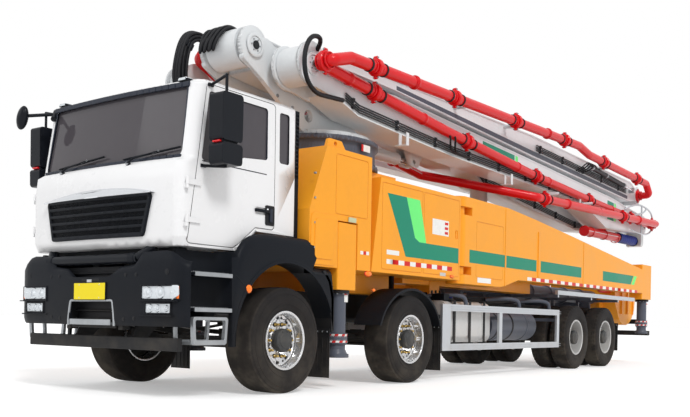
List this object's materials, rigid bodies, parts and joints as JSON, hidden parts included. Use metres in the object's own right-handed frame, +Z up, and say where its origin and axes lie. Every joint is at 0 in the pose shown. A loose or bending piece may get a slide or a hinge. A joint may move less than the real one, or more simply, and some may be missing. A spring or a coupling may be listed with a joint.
{
  "type": "truck-mounted concrete pump",
  "caption": "Heavy truck with a concrete pump, sliding and swinging outriggers, and a slewing multi-section folding placing boom carrying a delivery pipe.",
  "frame": {"origin": "on the ground under the middle of the truck's length and width", "axes": "+Z up, the cab's nose points along -Y, the truck's left side is +X"},
  "size_m": [2.88, 13.9898, 3.9849],
  "materials": {
    "frame_steel": "satin",
    "engine_metal": "matte",
    "axle_iron": "satin",
    "cab_white": "gloss",
    "cab_glass": "gloss",
    "black_plastic": "satin",
    "aluminium": "brushed",
    "body_orange": "gloss",
    "steel_grey": "satin",
    "boom_white": "gloss",
    "pipe_red": "gloss",
    "tyre_rubber": "matte",
    "rim_alloy": "polished",
    "rim_silver": "satin",
    "mirror_black": "gloss"
  },
  "bodies": {
    "chassis": {"chassis_frame": "frame_steel", "engine_block": "engine_metal", "axle_beams": "axle_iron", "cab_shell": "cab_white", "cab_glass": "cab_glass", "cab_trim": "black_plastic", "front_bumper": "black_plastic", "fenders": "black_plastic", "guards": "aluminium", "tanks": "steel_grey", "pedestal": "body_orange", "slew_drum": "steel_grey", "side_cabinets": "body_orange", "hopper": "body_orange", "pump_unit": "steel_grey", "deck_pipe": "pipe_red"},
    "steering_1_left": {"knuckle_1_left": "axle_iron"},
    "wheel_1_left": {"tyre_1_left": "tyre_rubber", "rim_1_left": "rim_alloy"},
    "steering_1_right": {"knuckle_1_right": "axle_iron"},
    "wheel_1_right": {"tyre_1_right": "tyre_rubber", "rim_1_right": "rim_alloy"},
    "steering_2_left": {"knuckle_2_left": "axle_iron"},
    "wheel_2_left": {"tyre_2_left": "tyre_rubber", "rim_2_left": "rim_alloy"},
    "steering_2_right": {"knuckle_2_right": "axle_iron"},
    "wheel_2_right": {"tyre_2_right": "tyre_rubber", "rim_2_right": "rim_alloy"},
    "wheel_3_left": {"tyre_3_left": "tyre_rubber", "rim_3_left": "rim_silver"},
    "wheel_3_right": {"tyre_3_right": "tyre_rubber", "rim_3_right": "rim_silver"},
    "wheel_4_left": {"tyre_4_left": "tyre_rubber", "rim_4_left": "rim_silver"},
    "wheel_4_right": {"tyre_4_right": "tyre_rubber", "rim_4_right": "rim_silver"},
    "cab_door_left": {"door_left": "cab_white", "mirror_left": "mirror_black"},
    "cab_door_right": {"door_right": "cab_white", "mirror_right": "mirror_black"},
    "front_outrigger_left": {"front_arm_left": "body_orange"},
    "front_leg_left": {"front_jack_left": "steel_grey"},
    "rear_outrigger_left": {"rear_arm_left": "body_orange"},
    "rear_leg_left": {"rear_jack_left": "steel_grey"},
    "front_outrigger_right": {"front_arm_right": "body_orange"},
    "front_leg_right": {"front_jack_right": "steel_grey"},
    "rear_outrigger_right": {"rear_arm_right": "body_orange"},
    "rear_leg_right": {"rear_jack_right": "steel_grey"},
    "turret": {"turret": "boom_white", "turret_pipe": "pipe_red"},
    "boom_section_1": {"boom_1": "boom_white", "boom_pipe_1": "pipe_red"},
    "boom_section_2": {"boom_2": "boom_white", "boom_pipe_2": "pipe_red"},
    "boom_section_3": {"boom_3": "boom_white", "boom_pipe_3": "pipe_red"},
    "boom_section_4": {"boom_4": "boom_white", "boom_pipe_4": "pipe_red"},
    "boom_section_5": {"boom_5": "boom_white", "boom_pipe_5": "pipe_red"}
  },
  "joints": [
    {"name": "steer_1_left", "type": "hinge", "parent": "chassis", "child": "steering_1_left", "pos_m": [0.8, -5.55, 0.535], "axis": [0, 0, 1], "range_deg": [-30, 30]},
    {"name": "spin_1_left", "type": "hinge", "parent": "steering_1_left", "child": "wheel_1_left", "pos_m": [1.05, -5.55, 0.535], "axis": [1, 0, 0], "continuous": true},
    {"name": "steer_1_right", "type": "hinge", "parent": "chassis", "child": "steering_1_right", "pos_m": [-0.8, -5.55, 0.535], "axis": [0, 0, 1], "range_deg": [-30, 30]},
    {"name": "spin_1_right", "type": "hinge", "parent": "steering_1_right", "child": "wheel_1_right", "pos_m": [-1.05, -5.55, 0.535], "axis": [1, 0, 0], "continuous": true},
    {"name": "steer_2_left", "type": "hinge", "parent": "chassis", "child": "steering_2_left", "pos_m": [0.8, -3.2, 0.535], "axis": [0, 0, 1], "range_deg": [-21.6, 21.6]},
    {"name": "spin_2_left", "type": "hinge", "parent": "steering_2_left", "child": "wheel_2_left", "pos_m": [1.05, -3.2, 0.535], "axis": [1, 0, 0], "continuous": true},
    {"name": "steer_2_right", "type": "hinge", "parent": "chassis", "child": "steering_2_right", "pos_m": [-0.8, -3.2, 0.535], "axis": [0, 0, 1], "range_deg": [-21.6, 21.6]},
    {"name": "spin_2_right", "type": "hinge", "parent": "steering_2_right", "child": "wheel_2_right", "pos_m": [-1.05, -3.2, 0.535], "axis": [1, 0, 0], "continuous": true},
    {"name": "spin_3_left", "type": "hinge", "parent": "chassis", "child": "wheel_3_left", "pos_m": [0.915, 2.1, 0.54], "axis": [1, 0, 0], "continuous": true},
    {"name": "spin_3_right", "type": "hinge", "parent": "chassis", "child": "wheel_3_right", "pos_m": [-0.915, 2.1, 0.54], "axis": [1, 0, 0], "continuous": true},
    {"name": "spin_4_left", "type": "hinge", "parent": "chassis", "child": "wheel_4_left", "pos_m": [0.915, 3.5, 0.54], "axis": [1, 0, 0], "continuous": true},
    {"name": "spin_4_right", "type": "hinge", "parent": "chassis", "child": "wheel_4_right", "pos_m": [-0.915, 3.5, 0.54], "axis": [1, 0, 0], "continuous": true},
    {"name": "door_swing_left", "type": "hinge", "parent": "chassis", "child": "cab_door_left", "pos_m": [1.142, -6.845, 1.7], "axis": [0, 0, -1], "range_deg": [0, 70]},
    {"name": "door_swing_right", "type": "hinge", "parent": "chassis", "child": "cab_door_right", "pos_m": [-1.142, -6.845, 1.7], "axis": [0, 0, 1], "range_deg": [0, 70]},
    {"name": "front_arm_slide_left", "type": "slide", "parent": "chassis", "child": "front_outrigger_left", "axis": [1, 0, 0], "range_m": [0, 1.4]},
    {"name": "front_jack_slide_left", "type": "slide", "parent": "front_outrigger_left", "child": "front_leg_left", "axis": [0, 0, -1], "range_m": [0, 0.33]},
    {"name": "rear_arm_swing_left", "type": "hinge", "parent": "chassis", "child": "rear_outrigger_left", "pos_m": [1.1, -1.9, 1.85], "axis": [0, 0, -1], "range_deg": [0, 80]},
    {"name": "rear_jack_slide_left", "type": "slide", "parent": "rear_outrigger_left", "child": "rear_leg_left", "axis": [0, 0, -1], "range_m": [0, 0.59]},
    {"name": "front_arm_slide_right", "type": "slide", "parent": "chassis", "child": "front_outrigger_right", "axis": [-1, 0, 0], "range_m": [0, 1.4]},
    {"name": "front_jack_slide_right", "type": "slide", "parent": "front_outrigger_right", "child": "front_leg_right", "axis": [0, 0, -1], "range_m": [0, 0.33]},
    {"name": "rear_arm_swing_right", "type": "hinge", "parent": "chassis", "child": "rear_outrigger_right", "pos_m": [-1.1, -1.9, 1.85], "axis": [0, 0, 1], "range_deg": [0, 80]},
    {"name": "rear_jack_slide_right", "type": "slide", "parent": "rear_outrigger_right", "child": "rear_leg_right", "axis": [0, 0, -1], "range_m": [0, 0.59]},
    {"name": "slew", "type": "hinge", "parent": "chassis", "child": "turret", "pos_m": [0, -3.6, 2.95], "axis": [0, 0, 1], "range_deg": [-180, 180]},
    {"name": "boom_1_lift", "type": "hinge", "parent": "turret", "child": "boom_section_1", "pos_m": [0, -5.12, 3.77], "axis": [1, 0, 0], "range_deg": [0, 88]},
    {"name": "boom_2_fold", "type": "hinge", "parent": "boom_section_1", "child": "boom_section_2", "pos_m": [0.62, 6.8, 2.95], "axis": [-1, 0, 0], "range_deg": [0, 180]},
    {"name": "boom_3_fold", "type": "hinge", "parent": "boom_section_2", "child": "boom_section_3", "pos_m": [0.62, -4.7, 3.59], "axis": [1, 0, 0], "range_deg": [0, 180]},
    {"name": "boom_4_fold", "type": "hinge", "parent": "boom_section_3", "child": "boom_section_4", "pos_m": [-0.795, 6.35, 3.52], "axis": [-1, 0, 0], "range_deg": [0, 180]},
    {"name": "boom_5_fold", "type": "hinge", "parent": "boom_section_4", "child": "boom_section_5", "pos_m": [-0.795, -5.05, 3.5], "axis": [1, 0, 0], "range_deg": [0, 180]}
  ],
  "couplings": [
    {"joint": "steer_1_right", "follows": "steer_1_left", "ratio": 1},
    {"joint": "steer_2_left", "follows": "steer_1_left", "ratio": 0.72},
    {"joint": "steer_2_right", "follows": "steer_1_left", "ratio": 0.72}
  ]
}
